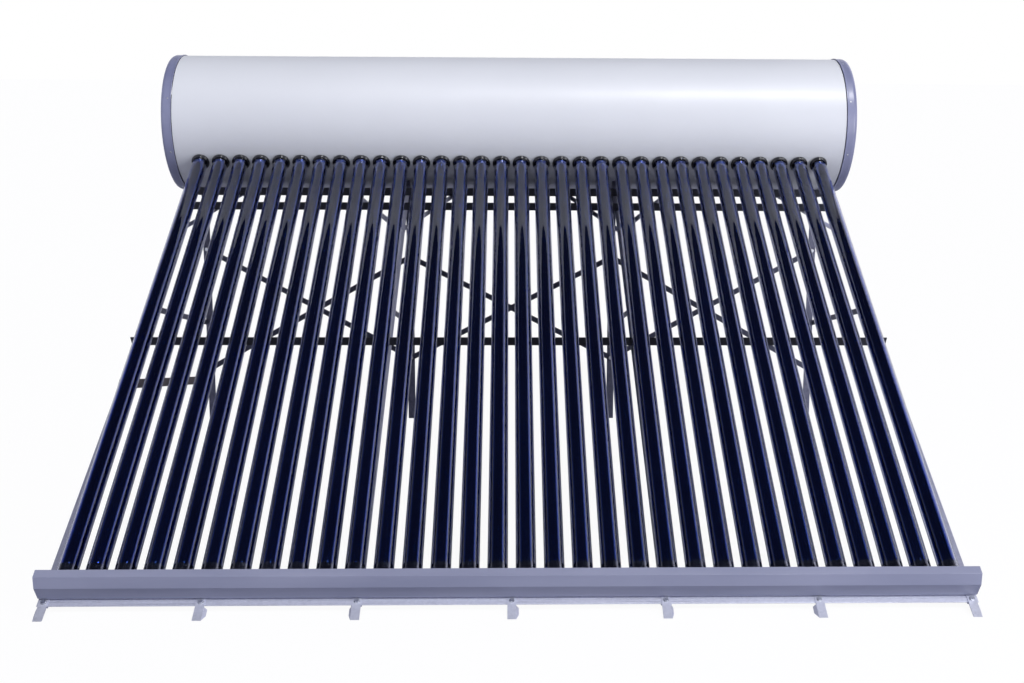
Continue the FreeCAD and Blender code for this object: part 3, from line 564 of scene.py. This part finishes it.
NODE_LOOKS = [
    ("tank_shell", "casing", 0), ("tank_insulation", "foam", 0), ("inner_tank", "stainless", 0),
    ("nipple_grommets", "black_rubber", 0.001), ("tube_seals", "silicone", 0), ("tail_cups", "cups", 0.0008),
    ("tail_cover", "cover", 0.0006), ("tail_rail", "cover", 0.0005), ("bottom_rail", "foot_look_painted_light", 0.0008),
    ("mid_rail", "rail_look_painted_shade", 0.0008), ("top_rail", "rail_look_painted_shade", 0.0008), ("tank_front_rail", "rail_look_painted_shade", 0.0008),
    ("tank_rear_rail", "rear", 0.0008), ("left_side_tie", "tie", 0.0006),
    ("foot_bolts", "zinc", 0.0007), ("stand_bolts", "zinc", 0.0007),
]
NODE_LOOKS += [("front_leg_%d" % k, "legs", 0.0009) for k in range(1, 5)]
NODE_LOOKS += [("rear_leg_%d" % k, "rear", 0.0009) for k in range(1, 5)]
NODE_LOOKS += [("tank_cradle_%d" % k, "rear", 0.0008) for k in range(1, 5)]
NODE_LOOKS += [("side_strut_%d" % k, "rear", 0.0007) for k in range(1, 5)]
NODE_LOOKS += [("front_foot_%d" % k, "foot_look_painted_light", 0) for k in range(1, 8)]
NODE_LOOKS += [("knee_brace_%d" % k, "legs", 0.0007) for k in range(1, 7)]
NODE_LOOKS += [("cross_brace_%d%s" % (k, layer), "brace_look_painted_shade", 0.0007) for k in range(1, 4) for layer in "ab"]


# Studio ------------------------------------------------------------------------------------

def seen_directly(made):
    """1 for what the camera sees straight on, 0 for what the object reflects."""
    return add(made, "ShaderNodeLightPath").outputs["Is Camera Ray"]


def make_floor():
    """A plain pale floor whose shadows are lifted almost to white."""
    size = 400.0
    mesh = bpy.data.meshes.new("studio_floor")
    corners = [(-size, -size, 0), (size, -size, 0), (size, size, 0), (-size, size, 0)]
    mesh.from_pydata(corners, [], [[0, 1, 2, 3]])
    floor = bpy.data.objects.new("studio_floor", mesh)
    bpy.context.scene.collection.objects.link(floor)
    look = material("pale_floor", (0.38, 0.385, 0.44), 0.9, Specular_IOR_Level=0.1)
    glow = add(look, "ShaderNodeEmission", Strength=1.1)
    share = add(look, "ShaderNodeMath", operation="MULTIPLY")
    share.inputs[1].default_value = 0.86
    blend = add(look, "ShaderNodeMixShader")
    join(look, seen_directly(look), share.inputs[0])
    join(look, share.outputs[0], blend.inputs["Fac"])
    join(look, look.node_tree.nodes["Principled BSDF"].outputs["BSDF"], blend.inputs[1])
    join(look, glow.outputs["Emission"], blend.inputs[2])
    join(look, blend.outputs["Shader"], look.node_tree.nodes["Material Output"].inputs["Surface"])
    mesh.materials.append(look)


def make_world():
    """White behind the object; for its light, bright low walls, one of them high, and a dark ceiling."""
    world = bpy.data.worlds.new("studio")
    world.use_nodes = True
    bpy.context.scene.world = world
    where = add(world, "ShaderNodeTexCoord")
    height = add(world, "ShaderNodeSeparateXYZ")
    ramp = add(world, "ShaderNodeValToRGB")
    ramp.color_ramp.elements[0].position = 0.12
    ramp.color_ramp.elements[0].color = (0.80, 0.81, 0.90, 1)
    ramp.color_ramp.elements[1].position = 0.62
    ramp.color_ramp.elements[1].color = (0.022, 0.025, 0.045, 1)
    toward = add(world, "ShaderNodeVectorMath", operation="DOT_PRODUCT")
    toward.inputs[1].default_value = (0.72, 0.64, 0.27)
    wall = add(world, "ShaderNodeMapRange")
    wall.inputs["From Min"].default_value = 0.80
    wall.inputs["From Max"].default_value = 0.93
    lit = add(world, "ShaderNodeMix", data_type="RGBA")
    lit.inputs[7].default_value = (1.05, 1.05, 1.2, 1)
    pick = add(world, "ShaderNodeMix", data_type="RGBA")
    join(world, where.outputs["Generated"], height.inputs["Vector"])
    join(world, height.outputs["Z"], ramp.inputs["Fac"])
    join(world, seen_directly(world), pick.inputs["Factor"])
    join(world, where.outputs["Generated"], toward.inputs[0])
    join(world, toward.outputs["Value"], wall.inputs["Value"])
    join(world, wall.outputs["Result"], lit.inputs["Factor"])
    join(world, ramp.outputs["Color"], lit.inputs[6])
    join(world, lit.outputs[2], pick.inputs[6])
    pick.inputs[7].default_value = (1, 1, 1, 1)
    join(world, pick.outputs[2], world.node_tree.nodes["Background"].inputs["Color"])


def make_lights():
    """A soft sun from the front and a large panel on the right."""
    key = bpy.data.objects.new("key", bpy.data.lights.new("key", "SUN"))
    key.data.energy = 2.15
    key.data.angle = math.radians(14)
    key.rotation_mode = "QUATERNION"
    key.rotation_quaternion = Vector((-0.20, 0.54, -0.82)).to_track_quat("-Z", "Y")
    bpy.context.scene.collection.objects.link(key)
    panel = bpy.data.objects.new("side_panel", bpy.data.lights.new("side_panel", "AREA"))
    panel.data.energy = 85.0
    panel.data.size = 2.0
    panel.location = (4.0, -3.6, 1.5)
    panel.rotation_mode = "QUATERNION"
    panel.rotation_quaternion = (Vector((0.6, -0.3, 0.6)) - panel.location).to_track_quat("-Z", "Y")
    bpy.context.scene.collection.objects.link(panel)


def make_camera():
    """In front of the tail cover, a little above the tank's height, looking down."""
    yaw, pitch, roll = math.radians(-1.379), math.radians(12.636), math.radians(0.331)
    data = bpy.data.cameras.new("view")
    data.sensor_width = 36.0
    data.lens = 41.39
    data.shift_x = -0.0246
    camera = bpy.data.objects.new("view", data)
    tail_line_y = TANK.y - 1.910
    spin = (Matrix.Rotation(yaw, 4, "Z") @ Matrix.Rotation(math.pi / 2 - pitch, 4, "X")
            @ Matrix.Rotation(roll, 4, "Z"))
    camera.matrix_world = Matrix.Translation((-0.0068, tail_line_y - 3.0994, 1.459)) @ spin
    bpy.context.scene.collection.objects.link(camera)
    bpy.context.scene.camera = camera


for node, look, edge in NODE_LOOKS:
    dress(node, LOOKS[look])
    if edge:
        soften(node, edge)
make_glass()
make_coated_tubes()
make_getter_film()
make_clips()
make_dust_rings()
make_caps()
make_nipple("cold_inlet_nipple", -NIPPLE_SPREAD)
make_nipple("vent_nipple", 0.0)
make_nipple("hot_outlet_nipple", NIPPLE_SPREAD)
make_back_seam()
make_floor()
make_world()
make_lights()
make_camera()
bpy.context.scene.view_settings.view_transform = "Standard"
